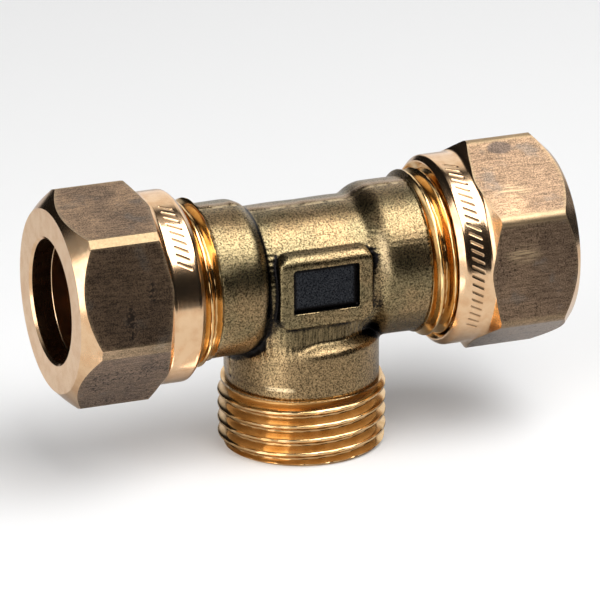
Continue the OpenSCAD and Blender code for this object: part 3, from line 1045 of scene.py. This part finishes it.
def nut(end, turn, blunt, first_stroke, count, light_and_flat_tones, corner_sheen_and_wear):
    """Coarse rows all round, and a band of finer columns on the collar where the strokes are cut."""
    angle, corner_r, edge = hexagon(turn, blunt)
    cols = len(angle)
    along, radius, kind = nut_rows(angle, corner_r, THREAD_PHASES[end])
    coarse = turned(along, radius, angle[None, :])
    fine_angle = np.interp(np.arange(cols * FINE) / FINE, np.arange(cols + 1),
                           np.append(angle, angle[0] + FULL_TURN))[None, :]
    band = np.linspace(along[-1, 0] + BAND_GAP, along[0, 0] - BAND_GAP, BAND_ROWS)[:, None]
    strokes = strokes_at(band, fine_angle, first_stroke, count)
    fine = turned(band, COLLAR_R - STROKE_DEPTH * strokes, fine_angle)
    points = np.concatenate([coarse, fine])
    rows = len(along)
    quads = loop_quads(rows, cols, closed=False)
    fine_quads = loop_quads(BAND_ROWS, cols * FINE, closed=False) + len(coarse)
    col = np.arange(cols)
    beside = (col + 1) % cols
    into = (col[:, None] * FINE + np.arange(FINE + 1)) % (cols * FINE) + len(coarse)
    last, top = (rows - 1) * cols, (BAND_ROWS - 1) * cols * FINE
    joins = [np.column_stack([last + col, last + beside, into[:, ::-1]]),
             np.column_stack([into + top, beside, col])]
    face_kind = np.repeat(kind[:-1], cols)
    is_flat = (face_kind == FLATS) & (np.repeat(kind[1:], cols) == FLATS)
    is_inner = (face_kind >= FIRST_INNER) & (face_kind <= LAST_INNER)
    finish_of = np.concatenate([is_flat + 2 * is_inner, np.zeros(len(fine_quads) + 2 * cols)])
    piece = make_piece(f"{end}_hexagon_nut", end, points, [quads, fine_quads, *joins],
                       [turned_nut, drawn_flats, cut_run], finish_of, sharp=28)
    flat_rows = np.flatnonzero(kind == FLATS)
    to_chamfer = np.minimum(along - along[flat_rows[0]], along[flat_rows[-1]] - along)
    to_edge = np.maximum(np.minimum(edge[None, :], to_chamfer), 0)
    sixth = cols // 6
    # Flat tones are partly painted light, the upper flats lighter; corner values add a painted highlight to the
    # wear.
    tone = np.tile(np.repeat(light_and_flat_tones, sixth), rows)
    corner = np.repeat(corner_sheen_and_wear, sixth) * (edge == 0)
    corner[::sixth] = np.roll(corner_sheen_and_wear, 1)
    shine = np.tile(corner, rows)
    for name, values in (("edge", to_edge), ("tone", tone), ("shine", shine)):
        store(piece, name, np.append(values, np.zeros(len(fine))))
    store(piece, "stroke", np.append(np.zeros(len(coarse)), strokes))
    dress(piece, f"{end}_nut", "nut_brass", f"{end}_nut")


# Tones: partly painted light, upper flats lighter. Corner values: wear with a painted highlight.
nut("left", turn=math.radians(17.7), blunt=1.0, first_stroke=6, count=9,
    light_and_flat_tones=[0.4, 1.0, 0.7, 0.6, 0.5, 0.1], corner_sheen_and_wear=[1.0, 0.4, 0.5, 0.3, 0.3, 0.1])
nut("right", turn=0.0, blunt=0.0, first_stroke=20, count=23,
    light_and_flat_tones=[0.6, 0.8, 1.0, 0.25, 0.2, 0.5], corner_sheen_and_wear=[0.4, 0.4, 0.25, 0.1, 0.1, 0.3])

# %% [markdown]
# The compression ring is a small barrel: a straight bore and an outside that tapers to a thin lip at both
# ends, where nut and body bite on it. Its edge shows as a bright line inside the nut's bore.

# %% Compression rings
RING_BORE_R = 7.6
RING_LIP = 0.35
RING_SLOPE = math.radians(21)
RING_TAPER = (RING_R - RING_BORE_R - RING_LIP) / math.tan(RING_SLOPE)
RING_BREAK, RING_DROP, RING_BEND = 0.06, 0.03, 0.3
RING_COLUMNS = 160


def compression_ring(end):
    """The outline runs over the outside towards the free end and back through the bore."""
    low, high = RING_START + RING_TAPER, RING_END - RING_TAPER
    start, stop, lip_r = RING_START + RING_BREAK, RING_END - RING_BREAK, RING_BORE_R + RING_LIP
    outline = np.array([
        (RING_START, RING_BORE_R), (RING_START, lip_r - RING_BREAK), (start, lip_r),
        (low, RING_R - RING_DROP), (low + RING_BEND, RING_R), (high - RING_BEND, RING_R),
        (high, RING_R - RING_DROP), (stop, lip_r), (RING_END, lip_r - RING_BREAK),
        (RING_END, RING_BORE_R + RING_BREAK), (stop, RING_BORE_R), (start, RING_BORE_R)])
    angle = np.linspace(0, FULL_TURN, RING_COLUMNS, endpoint=False)[None, :]
    points = turned(outline[:, :1], outline[:, 1:], angle)
    piece = make_piece(f"{end}_ring", end, points, [loop_quads(len(outline), RING_COLUMNS)], [turned_nut])
    dress(piece, f"{end}_ring", "ring_brass", f"{end}_compression_ring")


for run_end in ("left", "right"):
    compression_ring(run_end)
